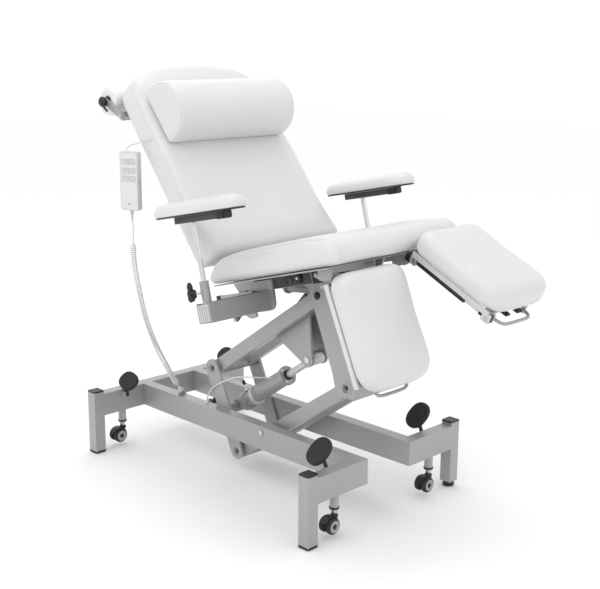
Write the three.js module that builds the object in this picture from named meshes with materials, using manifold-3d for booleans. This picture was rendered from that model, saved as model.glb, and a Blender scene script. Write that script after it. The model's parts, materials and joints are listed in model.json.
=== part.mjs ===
// Patient recliner chair: a two-rail base on four posts, a parallelogram lift,
// a tilting seat, a reclining back and two separate leg rests.
// Millimetres. +X points to the foot end, +Y to the patient's left, +Z up.
import * as THREE from 'three';
import { mergeVertices } from 'three/addons/utils/BufferGeometryUtils.js';
import Module from 'manifold-3d';

const wasm = await Module();
wasm.setup();

// ---- Driving dimensions ----
// The layout is drawn about the middle of the base, then moved so that the
// origin lies under the middle of the whole chair.
const ORIGIN_SHIFT = [-185.76, 0, 0];

// Base
const TUBE = 40;
const RAIL_INNER = 97;
const RAIL_BOTTOM = 134;
const RAIL_TOP = 213;
const BASE_END = 544;
const POST_OUTER = 348.7;
const POST_TOP = 226;
const FOOT_GAP = 17;

// Casters with foot pedals
const CASTER_Y = 220;
const CASTER_X = BASE_END - TUBE / 2;
const WHEEL_RADIUS = 25;
const WHEEL_CENTRE = 41;
const CASTER_TRAIL = 20;
const STEM_RADIUS = 9.8;

// Lift: two parallel links between the base brackets and the column
const LIFT_BASE_UPPER = [-167, 337];
const LIFT_BASE_LOWER = [-45, 72];
const LINK_LENGTH = 597;
const LINK_ANGLE = 34.4;
const LINK_INNER = 50;
const LINK_OUTER = 82;
const PIVOT_RADIUS = 13;
const PIVOT_BORE = 14;
const LIFT_ANCHOR = [-120, 200];
const LIFT_ROD_PIN = [380, -139];

// Seat, drawn level about its tilt pivot
const TILT_PIVOT = [247, 715];
const SEAT_TILT = 15;
const SEAT_HALF_WIDTH = 290;
const RAIL_Y = [99, 139];
const TILT_ANCHOR = [500, 470];
const TILT_LUG = [215, -12];

// Backrest, drawn along its own length above its hinge
const BACK_PIVOT = [-239, 60];
const BACK_LEAN = 24.2;
const BACK_LENGTH = 742;
const BACK_FRONT = 112;
const BACK_REAR = 10;
const BACK_LEVER = [-77, -37];
const BACK_ANCHOR = [-12, -46];

// Leg rests, drawn along their own length from the knee axis
const KNEE_AXIS = [277, 98];
const LEG_HANGING = 81;
const LEG_RAISED = 41;
const LEG_START = 102;
const LEG_END = 445;
const LEG_Y = [15, 285];

// Armrests
const ARM_POST = [-112, 374];
const ARM_HEIGHT = 232;
const ARM_PAD_TILT = 3;

// Handset and its lead
const HANDSET_CENTRE = [-290, -322, 983];
const HANDSET_SIZE = [67, 25, 188];
const HANDSET_TURN = 21;
const CURLY_RADIUS = 10;
const LEAD_RADIUS = 2.5;
const GAP = 0.3;

const rad = THREE.MathUtils.degToRad;

// ---- Solid helpers ----

function toSolid(geometry) {
  const bare = new THREE.BufferGeometry();
  const source = geometry.index ? geometry.toNonIndexed() : geometry;
  bare.setAttribute('position', source.getAttribute('position').clone());
  const merged = mergeVertices(bare, 1e-4);
  const index = merged.index.array;
  const triangles = [];
  for (let i = 0; i < index.length; i += 3) {
    const [a, b, c] = [index[i], index[i + 1], index[i + 2]];
    if (a !== b && b !== c && c !== a) triangles.push(a, b, c);
  }
  const vertProperties = new Float32Array(merged.getAttribute('position').array);
  const triVerts = new Uint32Array(triangles);
  return new wasm.Manifold(new wasm.Mesh({ numProp: 3, vertProperties, triVerts }));
}

function toGeometry(solid) {
  const mesh = solid.getMesh();
  const geometry = new THREE.BufferGeometry();
  geometry.setAttribute('position', new THREE.BufferAttribute(new Float32Array(mesh.vertProperties), 3));
  geometry.setIndex(new THREE.BufferAttribute(new Uint32Array(mesh.triVerts), 1));
  return geometry;
}

function join(...geometries) {
  return toGeometry(geometries.map(toSolid).reduce((whole, next) => whole.add(next)));
}

function cut(geometry, ...tools) {
  return toGeometry(tools.map(toSolid).reduce((whole, tool) => whole.subtract(tool), toSolid(geometry)));
}

function box(x0, x1, y0, y1, z0, z1) {
  const block = new THREE.BoxGeometry(x1 - x0, y1 - y0, z1 - z0);
  return block.translate((x0 + x1) / 2, (y0 + y1) / 2, (z0 + z1) / 2);
}

// A box given on the +Y side, moved to the side that `side` names (+1 or -1).
function sideBox(side, x0, x1, y0, y1, z0, z1) {
  return side > 0 ? box(x0, x1, y0, y1, z0, z1) : box(x0, x1, -y1, -y0, z0, z1);
}

// A round bar between two points.
function rod(from, to, radius, sides = 16) {
  const start = new THREE.Vector3(...from);
  const end = new THREE.Vector3(...to);
  const axis = end.clone().sub(start);
  const turn = new THREE.Quaternion();
  turn.setFromUnitVectors(new THREE.Vector3(0, 1, 0), axis.clone().normalize());
  const bar = new THREE.CylinderGeometry(radius, radius, axis.length(), sides);
  return bar.applyQuaternion(turn).translate(...start.add(end).multiplyScalar(0.5).toArray());
}

// A round bar along Y through the point [x, z].
function crossBar([x, z], y0, y1, radius, sides = 16) {
  return rod([x, y0, z], [x, y1, z], radius, sides);
}

// A flat plate with its outline in X and Z, between two planes across Y.
function plate(points, y0, y1) {
  const shape = new THREE.Shape(points.map(([x, z]) => new THREE.Vector2(x, z)));
  const slab = new THREE.ExtrudeGeometry(shape, { depth: y1 - y0, bevelEnabled: false });
  return slab.rotateX(Math.PI / 2).translate(0, y1, 0);
}

function sidePlate(side, points, y0, y1) {
  return side > 0 ? plate(points, y0, y1) : plate(points, -y1, -y0);
}

// Points on an arc about [x, z], from one angle to another in degrees.
function arc([x, z], radius, from, to, steps = 8) {
  const points = [];
  for (let i = 0; i <= steps; i += 1) {
    const angle = rad(from + ((to - from) * i) / steps);
    points.push([x + radius * Math.cos(angle), z + radius * Math.sin(angle)]);
  }
  return points;
}

// The outline of a link with round ends about two points.
function linkOutline(a, radiusA, b, radiusB) {
  const heading = THREE.MathUtils.radToDeg(Math.atan2(b[1] - a[1], b[0] - a[0]));
  const length = Math.hypot(b[0] - a[0], b[1] - a[1]);
  const spread = THREE.MathUtils.radToDeg(Math.acos((radiusA - radiusB) / length));
  const startEnd = arc(a, radiusA, heading + spread, heading + 360 - spread);
  const farEnd = arc(b, radiusB, heading - spread, heading + spread);
  return [...startEnd, ...farEnd];
}

// A soft block: an outline in X and Z with rolled edges at both sides across Y.
function bolsterBlock(points, y0, y1, roll) {
  const shape = new THREE.Shape(points.map(([x, z]) => new THREE.Vector2(x, z)));
  const block = new THREE.ExtrudeGeometry(shape, {
    depth: y1 - y0 - 2 * roll,
    bevelThickness: roll,
    bevelSize: roll,
    bevelOffset: -roll,
    bevelSegments: 2,
  });
  return block.rotateX(Math.PI / 2).translate(0, y1 - roll, 0);
}

// A rectangle with rounded corners: one radius at the low-X end, one at the high-X end.
function roundedPlan(x0, x1, y0, y1, radiusLow, radiusHigh) {
  const shape = new THREE.Shape();
  shape.absarc(x0 + radiusLow, y0 + radiusLow, radiusLow, Math.PI, 1.5 * Math.PI);
  shape.absarc(x1 - radiusHigh, y0 + radiusHigh, radiusHigh, 1.5 * Math.PI, 2 * Math.PI);
  shape.absarc(x1 - radiusHigh, y1 - radiusHigh, radiusHigh, 0, 0.5 * Math.PI);
  shape.absarc(x0 + radiusLow, y1 - radiusLow, radiusLow, 0.5 * Math.PI, Math.PI);
  return shape;
}

// A soft pad: a plan outline in X and Y with rolled edges, between two heights.
function padBlock(shape, z0, z1, roll) {
  const block = new THREE.ExtrudeGeometry(shape, {
    depth: z1 - z0 - 2 * roll,
    bevelThickness: roll,
    bevelSize: roll,
    bevelOffset: -roll,
    bevelSegments: 2,
    curveSegments: 5,
  });
  return block.translate(0, 0, z0 + roll);
}

// A round bar along a smooth curve.
function bentRod(points, radius, steps, sides = 8) {
  const path = new THREE.CatmullRomCurve3(points.map((point) => new THREE.Vector3(...point)));
  const section = new THREE.Shape();
  for (let i = 0; i < sides; i += 1) {
    const angle = (2 * Math.PI * i) / sides;
    const corner = [radius * Math.cos(angle), radius * Math.sin(angle)];
    if (i === 0) section.moveTo(...corner);
    else section.lineTo(...corner);
  }
  return new THREE.ExtrudeGeometry(section, { steps, extrudePath: path });
}

// ---- Finishes ----

function finish(color, roughness, metalness) {
  return () => new THREE.MeshStandardMaterial({ color, roughness, metalness });
}

const whiteVinyl = finish(0xf2f2f0, 0.42, 0);
const greyPaint = finish(0xb9bbbd, 0.4, 0.25);
const chrome = finish(0xd8dadc, 0.12, 1);
const blackPlastic = finish(0x1c1c1e, 0.5, 0);
const greyPlastic = finish(0xc9cbcc, 0.5, 0);
const wheelPlastic = finish(0x8a8c8e, 0.55, 0);
const paper = finish(0xeeeeea, 0.9, 0);
const brightMetal = finish(0xc6c8ca, 0.3, 0.8);

const chair = new THREE.Group();
chair.position.set(...ORIGIN_SHIFT);

function addPart(parent, name, geometry, material) {
  const mesh = new THREE.Mesh(geometry, material());
  mesh.name = name;
  parent.add(mesh);
}

function addGroup(parent, x, y, z, turnY = 0) {
  const group = new THREE.Group();
  group.position.set(x, y, z);
  group.rotation.y = rad(turnY);
  parent.add(group);
  return group;
}

// ---- Base ----

const BRACKET = [RAIL_INNER - 8, RAIL_INNER + 1];
const SLEEVE = { outer: 13.5, bore: STEM_RADIUS + 0.5, bottom: 88 };
const PEDAL_PIVOT = [CASTER_X - 30, 195];

// The caster's guide sleeve and the ear that carries the pedal, on one cross arm.
// `end` is +1 at the foot end and -1 at the head end.
function casterSeat(frame, end, side) {
  const x = end * CASTER_X;
  const y = side * CASTER_Y;
  const sleeve = rod([x, y, SLEEVE.bottom], [x, y, RAIL_BOTTOM + 2], SLEEVE.outer);
  const earY = [CASTER_Y + 8, CASTER_Y + 15];
  const ears = end > 0 ? [PEDAL_PIVOT[0] - 9, 505] : [-505, 9 - PEDAL_PIVOT[0]];
  const ear = sideBox(side, ears[0], ears[1], earY[0], earY[1], PEDAL_PIVOT[1] - 10, PEDAL_PIVOT[1] + 10);
  const pin = crossBar([end * PEDAL_PIVOT[0], PEDAL_PIVOT[1]], side * (CASTER_Y - 6), side * earY[1], 5, 12);
  const bore = rod([x, y, SLEEVE.bottom - 1], [x, y, RAIL_BOTTOM + 1], SLEEVE.bore);
  return cut(join(frame, sleeve, ear, pin), bore);
}

function sideFrame(side) {
  const rail = sideBox(side, GAP - 504, BASE_END, RAIL_INNER, RAIL_INNER + TUBE, RAIL_BOTTOM, RAIL_TOP);
  const arm = sideBox(side, 504, BASE_END, RAIL_INNER + 1, POST_OUTER, RAIL_BOTTOM, RAIL_TOP);
  const postFoot = side > 0 ? FOOT_GAP : 0;
  const post = sideBox(side, 504, BASE_END, POST_OUTER - TUBE, POST_OUTER, postFoot, POST_TOP);
  const bracket = sidePlate(side, linkOutline(LIFT_BASE_UPPER, 31, LIFT_BASE_LOWER, 28), ...BRACKET);
  let frame = casterSeat(join(rail, arm, post, bracket), 1, side);
  for (const pivot of [LIFT_BASE_UPPER, LIFT_BASE_LOWER]) {
    frame = cut(frame, crossBar(pivot, -100, 100, PIVOT_BORE));
  }
  return frame;
}

function rightSideFrame() {
  const anchorShaft = crossBar(LIFT_ANCHOR, -BRACKET[0] - 1, BRACKET[0] - GAP, 12);
  const last = new THREE.Vector3(...CURLY_END);
  const heading = CURLY_HEADING;
  const top = last.clone().addScaledVector(heading, GAP);
  const collar = rod(top.toArray(), top.clone().addScaledVector(heading, 26).toArray(), 12, 12);
  return join(sideFrame(-1), anchorShaft, collar);
}

function leftSideFrame() {
  const y = POST_OUTER - TUBE / 2;
  return cut(sideFrame(1), rod([CASTER_X, y, 0], [CASTER_X, y, 66], 7));
}

function rearFrame() {
  const tube = box(-BASE_END, -504, -POST_OUTER, POST_OUTER, RAIL_BOTTOM, RAIL_TOP);
  const posts = [-1, 1].map((side) => sideBox(side, -BASE_END, -504, POST_OUTER - TUBE, POST_OUTER, 0, POST_TOP));
  let frame = join(tube, ...posts);
  for (const side of [-1, 1]) frame = casterSeat(frame, -1, side);
  return frame;
}

function levellingFoot() {
  const y = POST_OUTER - TUBE / 2;
  const disc = rod([CASTER_X, y, 0], [CASTER_X, y, 11], 19, 20);
  const screw = rod([CASTER_X, y, 10], [CASTER_X, y, 58], 6, 12);
  return join(disc, screw);
}

// ---- Casters ----

function casterWheels() {
  const tread = [-1, 1].map((side) => rod([side * 6, 0, 0], [side * 22, 0, 0], WHEEL_RADIUS, 20));
  return join(...tread, rod([-7, 0, 0], [7, 0, 0], 5, 10));
}

function casterFork() {
  const boss = rod([0, 0, WHEEL_RADIUS], [0, 0, WHEEL_RADIUS + 7], 11);
  const web = plate(linkOutline([CASTER_TRAIL, 0], 16, [0, WHEEL_RADIUS - 4], 9), -4, 4).rotateZ(-Math.PI / 2);
  const axleHole = rod([-6, -CASTER_TRAIL, 0], [6, -CASTER_TRAIL, 0], 5.5, 12);
  return cut(join(boss, web), axleHole);
}

function pedal(end, side) {
  const [x, z] = PEDAL_PIVOT;
  const lever = plate(linkOutline([end * x, z], 9, [end * (x - 24), z + 48], 6), -5, 5);
  const pad = new THREE.CylinderGeometry(33, 36, 16, 20);
  const [wide, tall, pitch] = end > 0 ? [0.95, 1.28, 52] : [1.08, 0.95, 44];
  pad.scale(wide, 1, tall).rotateX(Math.PI / 2).rotateX(rad(pitch)).rotateY(rad(18));
  pad.translate(end * (x - 26), side * 8, z + 56);
  return cut(join(lever, pad), crossBar([end * x, z], -8, 8, 5.4, 12));
}

function addCaster(name, end, side) {
  const [x, y] = [end * CASTER_X, side * CASTER_Y];
  const stemTop = RAIL_BOTTOM - 4;
  const stemFoot = WHEEL_CENTRE + WHEEL_RADIUS + 7 + GAP;
  addPart(chair, `${name}_pedal`, pedal(end, side).translate(0, y, 0), blackPlastic);
  addPart(chair, `${name}_plunger`, rod([x, y, stemFoot], [x, y, stemTop], STEM_RADIUS), brightMetal);
  const caster = addGroup(chair, x, y, WHEEL_CENTRE);
  addPart(caster, `${name}_fork`, casterFork(), blackPlastic);
  addPart(caster, `${name}_wheels`, casterWheels().translate(0, -CASTER_TRAIL, 0), wheelPlastic);
}

// ---- Lift ----

const linkTurn = -LINK_ANGLE;

function linkArm(baseJournal, columnJournal) {
  const tubes = [-1, 1].map((side) => sideBox(side, 12, LINK_LENGTH - 12, LINK_INNER, LINK_OUTER, -22, 22));
  const sleeves = [0, LINK_LENGTH].map((x) => crossBar([x, 0], -84, 84, 26, 20));
  const journals = [
    crossBar([0, 0], -baseJournal, baseJournal, PIVOT_RADIUS, 20),
    crossBar([LINK_LENGTH, 0], -columnJournal, columnJournal, PIVOT_RADIUS, 20),
  ];
  return join(...tubes, ...sleeves, ...journals);
}

function boreEnds(geometry) {
  return cut(geometry, ...[0, LINK_LENGTH].map((x) => crossBar([x, 0], -110, 110, 9)));
}

function upperArm() {
  const [px, pz] = LIFT_ROD_PIN;
  const outline = [[285, -8], [478, -8], ...arc([px, pz], 24, 0, -180)];
  const lugs = [-1, 1].map((side) => sidePlate(side, outline, 28, 36));
  const pin = crossBar([px, pz], -36, 36, 7, 12);
  const bridge = box(285, 478, -LINK_INNER - 1, LINK_INNER + 1, -16, -7);
  return boreEnds(join(linkArm(96, 93), ...lugs, pin, bridge));
}

function lowerArm() {
  return boreEnds(linkArm(96, 93));
}

const COLUMN_Y = [86, 94];
const COLUMN_FRONT = [[368, 727], [368, 705], [483, 440], [483, 378]];

function column() {
  const rear = [[408, 378], [390, 445], [285, 690], [262, 697]];
  const head = arc(TILT_PIVOT, 19, -90, -230, 8);
  const outline = [...COLUMN_FRONT, ...rear, ...head, [250, 727]];
  const web = [...COLUMN_FRONT, ...COLUMN_FRONT.map(([x, z]) => [x - 7, z]).reverse()];
  const lug = [[468, 440], [500, 452], ...arc(TILT_ANCHOR, 16, -60, 90, 5), [440, 500]];
  const parts = [];
  for (const side of [-1, 1]) {
    parts.push(sidePlate(side, outline, ...COLUMN_Y));
    parts.push(sidePlate(side, lug, 24, 31));
  }
  parts.push(plate(web, -COLUMN_Y[0] - 1, COLUMN_Y[0] + 1));
  parts.push(crossBar(TILT_ANCHOR, -31, 31, 6, 12));
  const reach = LINK_LENGTH;
  const ends = [LIFT_BASE_UPPER, LIFT_BASE_LOWER].map(([x, z]) => [
    x + reach * Math.cos(rad(LINK_ANGLE)),
    z + reach * Math.sin(rad(LINK_ANGLE)),
  ]);
  const bores = ends.map((end) => crossBar(end, -100, 100, PIVOT_BORE));
  return cut(join(...parts), ...bores, crossBar(TILT_PIVOT, -100, 100, 13));
}

// A linear drive drawn along +X from its rear eye at the origin.
function driveCylinder(length, radius, eyeWidth, eyeHole, bore, boreDepth) {
  const body = rod([22, 0, 0], [length, 0, 0], radius, 20);
  const flange = rod([length - 10, 0, 0], [length, 0, 0], radius + 5, 20);
  const eye = crossBar([0, 0], -eyeWidth, eyeWidth, radius * 0.75, 16);
  const neck = box(0, 24, -eyeWidth, eyeWidth, -radius * 0.6, radius * 0.6);
  const hole = crossBar([0, 0], -60, 60, eyeHole, 12);
  const well = rod([length - boreDepth, 0, 0], [length + 5, 0, 0], bore, 16);
  return cut(join(body, flange, eye, neck), hole, well);
}

// The rod of a drive: its eye is `reach` from the drive's rear eye.
function driveRod(reach, length, radius, eyeRadius, eyeWidth, eyeHole) {
  const bar = rod([reach - length, 0, 0], [reach - eyeRadius * 0.7, 0, 0], radius, 16);
  const eye = crossBar([reach, 0], -eyeWidth, eyeWidth, eyeRadius, 16);
  const hole = crossBar([reach, 0], -60, 60, eyeHole, 14);
  return cut(join(bar, eye), hole);
}

// The turn about Y and the length of the line from one [x, z] point to another.
function span(from, to) {
  const [dx, dz] = [to[0] - from[0], to[1] - from[1]];
  return { turn: -THREE.MathUtils.radToDeg(Math.atan2(dz, dx)), length: Math.hypot(dx, dz) };
}

// A point of a turned frame, seen in its parent frame.
function outOf(origin, turn, [x, z]) {
  const [c, s] = [Math.cos(rad(turn)), Math.sin(rad(turn))];
  return [origin[0] + x * c + z * s, origin[1] - x * s + z * c];
}

function addLift() {
  const upper = addGroup(chair, LIFT_BASE_UPPER[0], 0, LIFT_BASE_UPPER[1], linkTurn);
  const lower = addGroup(chair, LIFT_BASE_LOWER[0], 0, LIFT_BASE_LOWER[1], linkTurn);
  addPart(upper, 'upper_lift_arm', upperArm(), greyPaint);
  addPart(lower, 'lower_lift_arm', lowerArm(), greyPaint);
  addPart(chair, 'column', column(), greyPaint);
  const drive = span(LIFT_ANCHOR, outOf(LIFT_BASE_UPPER, linkTurn, LIFT_ROD_PIN));
  const group = addGroup(chair, LIFT_ANCHOR[0], 0, LIFT_ANCHOR[1], drive.turn);
  addPart(group, 'lift_drive', driveCylinder(270, 28, 26, 12.6, 13, 175), greyPaint);
  addPart(group, 'lift_drive_rod', driveRod(drive.length, 250, 12, 22, 24, 13), chrome);
}

// ---- Seat ----

const CHANNEL = { rear: -150, front: -90, bottom: -80, top: -20, wall: 4, end: 388 };

function armChannel(side) {
  const { rear, front, bottom, top, wall, end } = CHANNEL;
  const inner = RAIL_Y[1] + 1;
  const floor = sideBox(side, rear, front, inner, end, bottom, bottom + wall);
  const back = sideBox(side, rear, rear + wall, inner, end, bottom, top);
  const fore = sideBox(side, front - wall, front, inner, end, bottom, top);
  const drop = [[-168, 12], [-70, 12], [-70, -30], ...arc([-100, -56], 28, 0, -90, 5), [-140, -84], [-168, -50]];
  const hanger = sidePlate(side, drop, RAIL_Y[1] - 0.5, RAIL_Y[1] + 8);
  const post = rod([ARM_POST[0], side * ARM_POST[1], -90], [ARM_POST[0], side * ARM_POST[1], -70], 9.5, 12);
  return cut(join(floor, back, fore, hanger), post);
}

function seatFrame() {
  const parts = [];
  for (const side of [-1, 1]) {
    parts.push(sideBox(side, -215, 124, ...RAIL_Y, -20, 20));
    parts.push(sideBox(side, 110, 290, 112, 132, 2, 20.5));
    const [bx, bz] = BACK_PIVOT;
    const hinge = [[-150, -20], [-150, 18], [-214, 18], [-221, 48], ...arc([bx, bz], 17, 0, 180), [-246, 10], [-226, -20]];
    parts.push(sidePlate(side, hinge, RAIL_Y[1] - 0.5, RAIL_Y[1] + 8));
    parts.push(armChannel(side));
    parts.push(sidePlate(side, linkOutline([0, 0], 14, BACK_ANCHOR, 12), 27, 33));
    parts.push(sidePlate(side, [[175, 21], [250, 21], ...arc(TILT_LUG, 14, 0, -180, 6)], 24, 31));
    for (const y of [67.5, 243]) {
      parts.push(sidePlate(side, [[240, 21], [298, 21], [294, -2], [286, -12], [262, -14], [240, -8]], y, y + 6));
    }
  }
  parts.push(box(-172, -152, -100, 100, 0, 19));
  parts.push(box(128, 150, -113, 113, 2, 20.5));
  parts.push(box(-195, 300, -270, 270, 20, 24.5));
  parts.push(crossBar([0, 0], -RAIL_Y[1], RAIL_Y[1], 12, 20));
  parts.push(crossBar(BACK_ANCHOR, -33, 33, 6, 12));
  const backBore = crossBar(BACK_PIVOT, -160, 160, 11.2, 16);
  return cut(join(...parts), crossBar([0, 0], -150, 150, 8.5), backBore);
}

function seatCushion() {
  const outline = [
    [-207, 25], [345, 25], [356, 48], [350, 78], [328, 98], [295, 108],
    [100, 112], [-110, 112], [-150, 103], [-185, 80], [-204, 52],
  ];
  return bolsterBlock(outline, -SEAT_HALF_WIDTH, SEAT_HALF_WIDTH, 12);
}

function addSeatDrives(seat) {
  const lugInWorld = outOf(TILT_PIVOT, -SEAT_TILT, TILT_LUG);
  const tilt = span(TILT_ANCHOR, lugInWorld);
  const tiltGroup = addGroup(chair, TILT_ANCHOR[0], 0, TILT_ANCHOR[1], tilt.turn);
  addPart(tiltGroup, 'tilt_drive', driveCylinder(175, 20, 19, 6.6, 9, 150), greyPaint);
  addPart(tiltGroup, 'tilt_drive_rod', driveRod(tilt.length, 190, 8, 13, 19, 5), chrome);
  const tip = outOf(BACK_PIVOT, -BACK_LEAN, BACK_LEVER);
  const back = span(BACK_ANCHOR, tip);
  const backGroup = addGroup(seat, BACK_ANCHOR[0], 0, BACK_ANCHOR[1], back.turn);
  addPart(backGroup, 'back_drive', driveCylinder(150, 17, 22, 6.6, 8.5, 140), greyPaint);
  addPart(backGroup, 'back_drive_rod', driveRod(back.length, 168, 7.5, 11, 8, 4), chrome);
}

// ---- Backrest ----

const ROLL_CENTRE = [-44, 697];
const toUpright = new THREE.Matrix4().makeBasis(
  new THREE.Vector3(0, 1, 0),
  new THREE.Vector3(0, 0, 1),
  new THREE.Vector3(1, 0, 0),
);

function backFrame() {
  const parts = [];
  for (const side of [-1, 1]) {
    parts.push(sideBox(side, -16, 9, 105, 130, -8, 628));
    parts.push(sidePlate(side, linkOutline(ROLL_CENTRE, 11, [-6, 611], 10), 277, 283));
    parts.push(sidePlate(side, linkOutline([0, 0], 13, BACK_LEVER, 12), 10, 16));
  }
  for (const z of [140, 380]) parts.push(box(-14, 7, -106, 106, z, z + 25));
  parts.push(box(-16, 4, -278, 278, 600, 622));
  parts.push(crossBar([0, 0], -148, 148, 10.4, 16));
  parts.push(crossBar(ROLL_CENTRE, -298, 283, 8, 12));
  return cut(join(...parts), crossBar([0, 0], -160, 160, 6.5, 12));
}

function backCushion() {
  const shoulder = 655;
  const shape = new THREE.Shape();
  shape.moveTo(-SEAT_HALF_WIDTH, 13);
  shape.lineTo(SEAT_HALF_WIDTH, 13);
  shape.lineTo(276, shoulder);
  shape.bezierCurveTo(266, 702, 150, BACK_LENGTH, 0, BACK_LENGTH);
  shape.bezierCurveTo(-150, BACK_LENGTH, -266, 702, -276, shoulder);
  const roll = 16;
  const block = new THREE.ExtrudeGeometry(shape, {
    depth: BACK_FRONT - BACK_REAR - 2 * roll,
    bevelThickness: roll,
    bevelSize: roll,
    bevelOffset: -roll,
    bevelSegments: 2,
    curveSegments: 8,
  });
  return block.applyMatrix4(toUpright).translate(BACK_REAR + roll, 0, 0);
}

function headBolster() {
  const centre = [152, 507];
  const radius = 102;
  const flat = THREE.MathUtils.radToDeg(Math.acos((centre[0] - BACK_FRONT - 1) / radius));
  const outline = arc(centre, radius, flat - 180, 180 - flat, 20);
  return bolsterBlock(outline, -265, 237, 10);
}

function paperRoll() {
  const [x, z] = ROLL_CENTRE;
  return cut(crossBar([x, z], -272, 272, 47, 28), crossBar([x, z], -275, 275, 19, 16));
}

// ---- Armrests ----

function addArmrest(seat, name, side) {
  const [x, y] = [ARM_POST[0], side * ARM_POST[1]];
  const { bottom, wall } = CHANNEL;
  const block = box(x - 14, x + 14, y - 13, y + 13, bottom + wall + GAP, -19);
  const sleeve = rod([x, y, -20], [x, y, 45], 14);
  const bore = rod([x, y, -90], [x, y, 60], 8.5);
  addPart(seat, `${name}_clamp`, cut(join(block, sleeve), bore), greyPaint);
  addPart(seat, `${name}_post`, rod([x, y, -60], [x, y, ARM_HEIGHT - 11], 8, 20), chrome);
  addPart(seat, `${name}_clamp_knob`, clampKnob().rotateZ(side * rad(135)).translate(x, y, 12), blackPlastic);
  const top = addGroup(seat, x, y, ARM_HEIGHT, ARM_PAD_TILT);
  addPart(top, `${name}_bar`, box(-71, 164, -12.5, 12.5, -10, 10), greyPaint);
  addPart(top, `${name}_pad`, padBlock(roundedPlan(-140, 228, -55, 55, 48, 52), 10.5, 57, 14), whiteVinyl);
}

// A three-lobed clamp knob on its screw, drawn along +X from the post's axis.
function clampKnob() {
  const lobes = [90, 210, 330].map((angle) => {
    const [y, z] = [23 * Math.cos(rad(angle)), 23 * Math.sin(rad(angle))];
    return rod([38, y, z], [52, y, z], 10, 12);
  });
  return join(rod([14 + GAP, 0, 0], [40, 0, 0], 4, 12), rod([30, 0, 0], [54, 0, 0], 15, 12), ...lobes);
}

// ---- Leg rests ----

function legHanger() {
  const arms = [60, 235].map((y) => {
    const inner = arc([0, 0], 101.5, -44, 0, 8);
    const outer = arc([0, 0], 113, 0, -44, 8);
    return plate([...inner, [119, 0], [127, -12], [119, -24], ...outer.slice(2)], y, y + 6);
  });
  const bar = box(118, 127, 20, 280, -24, -13);
  const block = box(118, 140, 22, 46, -34, -12);
  return join(...arms, bar, block);
}

function legFrame() {
  const strips = [[19, 26], [274, 281]].map(([y0, y1]) => box(120, 420, y0, y1, -11, 4.6));
  const ties = [150, 394].map((x) => box(x, x + 26, 20, 280, -9, -3));
  const clevis = [[24, 30], [46, 52], [200, 206]].map(([y0, y1]) => box(402, 430, y0, y1, -32, -4));
  return join(...strips, ...ties, ...clevis, box(402, 408, 24, 52, -32, -4));
}

function gasCylinder() {
  return cut(rod([141, 38, -23], [330, 38, -23], 10), rod([150, 38, -23], [340, 38, -23], 4.5, 12));
}

function legHandle() {
  const path = [[419, 58], [436, 58], [452, 62], [458, 74], [459, 130], [458, 178], [452, 190], [436, 194], [419, 194]];
  return bentRod(path.map(([x, y]) => [x, y, -20]), 5, 26, 8);
}

function addLegRest(seat, name, side, turn) {
  const leg = addGroup(seat, KNEE_AXIS[0], 0, KNEE_AXIS[1], turn);
  // The leg rest is drawn on the +Y side; the right one is its mirror image.
  const place = (geometry) => {
    if (side > 0) return geometry;
    const solid = toSolid(geometry).mirror([0, 1, 0]);
    return toGeometry(solid);
  };
  addPart(leg, `${name}_hanger`, place(legHanger()), greyPaint);
  addPart(leg, `${name}_gas_cylinder`, place(gasCylinder()), blackPlastic);
  addPart(leg, `${name}_frame`, place(legFrame()), brightMetal);
  addPart(leg, `${name}_gas_rod`, place(rod([190, 38, -23], [402 - GAP, 38, -23], 4, 12)), brightMetal);
  const plan = roundedPlan(LEG_START, LEG_END, ...LEG_Y, 45, 66);
  addPart(leg, `${name}_cushion`, place(padBlock(plan, 5, 79, 16)), whiteVinyl);
  addPart(leg, `${name}_handle`, place(legHandle()), greyPaint);
}

// ---- Handset and lead ----

const CURLY_POINTS = [
  [-288, -322, 797], [-295, -316, 716], [-294, -300, 620], [-292, -275, 514], [-287, -235, 408], [-294, -180, 313],
];
const CURLY_END = [-314.9, -117.3, 229.3];
const CURLY_HEADING = new THREE.Vector3(-0.196, 0.588, -0.784).normalize();
const LEAD_POINTS = [
  [-290, -322, 888.7], [-290, -322, 866], [-288, -322, 846], [-285.5, -322, 828], [-286, -322, 812], [-287.9, -322, 797.6],
];

function handset() {
  const [width, depth, height] = HANDSET_SIZE;
  const face = roundedPlan(-width / 2, width / 2, -height / 2, height / 2, 8, 8);
  return padBlock(face, -depth / 2, depth / 2, 3).rotateX(Math.PI / 2);
}

function addHandset() {
  const holder = addGroup(chair, ...HANDSET_CENTRE);
  holder.rotation.z = rad(HANDSET_TURN);
  addPart(holder, 'handset', handset(), greyPlastic);
  addPart(chair, 'handset_lead', bentRod(LEAD_POINTS, LEAD_RADIUS, 10), greyPlastic);
  addPart(chair, 'curly_cord', bentRod([...CURLY_POINTS, CURLY_END], CURLY_RADIUS, 26, 12), greyPlastic);
}

// ---- Assembly ----

addPart(chair, 'right_side_frame', rightSideFrame(), greyPaint);
addPart(chair, 'left_side_frame', leftSideFrame(), greyPaint);
addPart(chair, 'rear_frame', rearFrame(), greyPaint);
addPart(chair, 'levelling_foot', levellingFoot(), blackPlastic);
addCaster('front_right_caster', 1, -1);
addCaster('front_left_caster', 1, 1);
addCaster('rear_right_caster', -1, -1);
addCaster('rear_left_caster', -1, 1);
addLift();

const seat = addGroup(chair, TILT_PIVOT[0], 0, TILT_PIVOT[1], -SEAT_TILT);
addPart(seat, 'seat_frame', seatFrame(), greyPaint);
addPart(seat, 'seat_cushion', seatCushion(), whiteVinyl);
addSeatDrives(seat);

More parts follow.
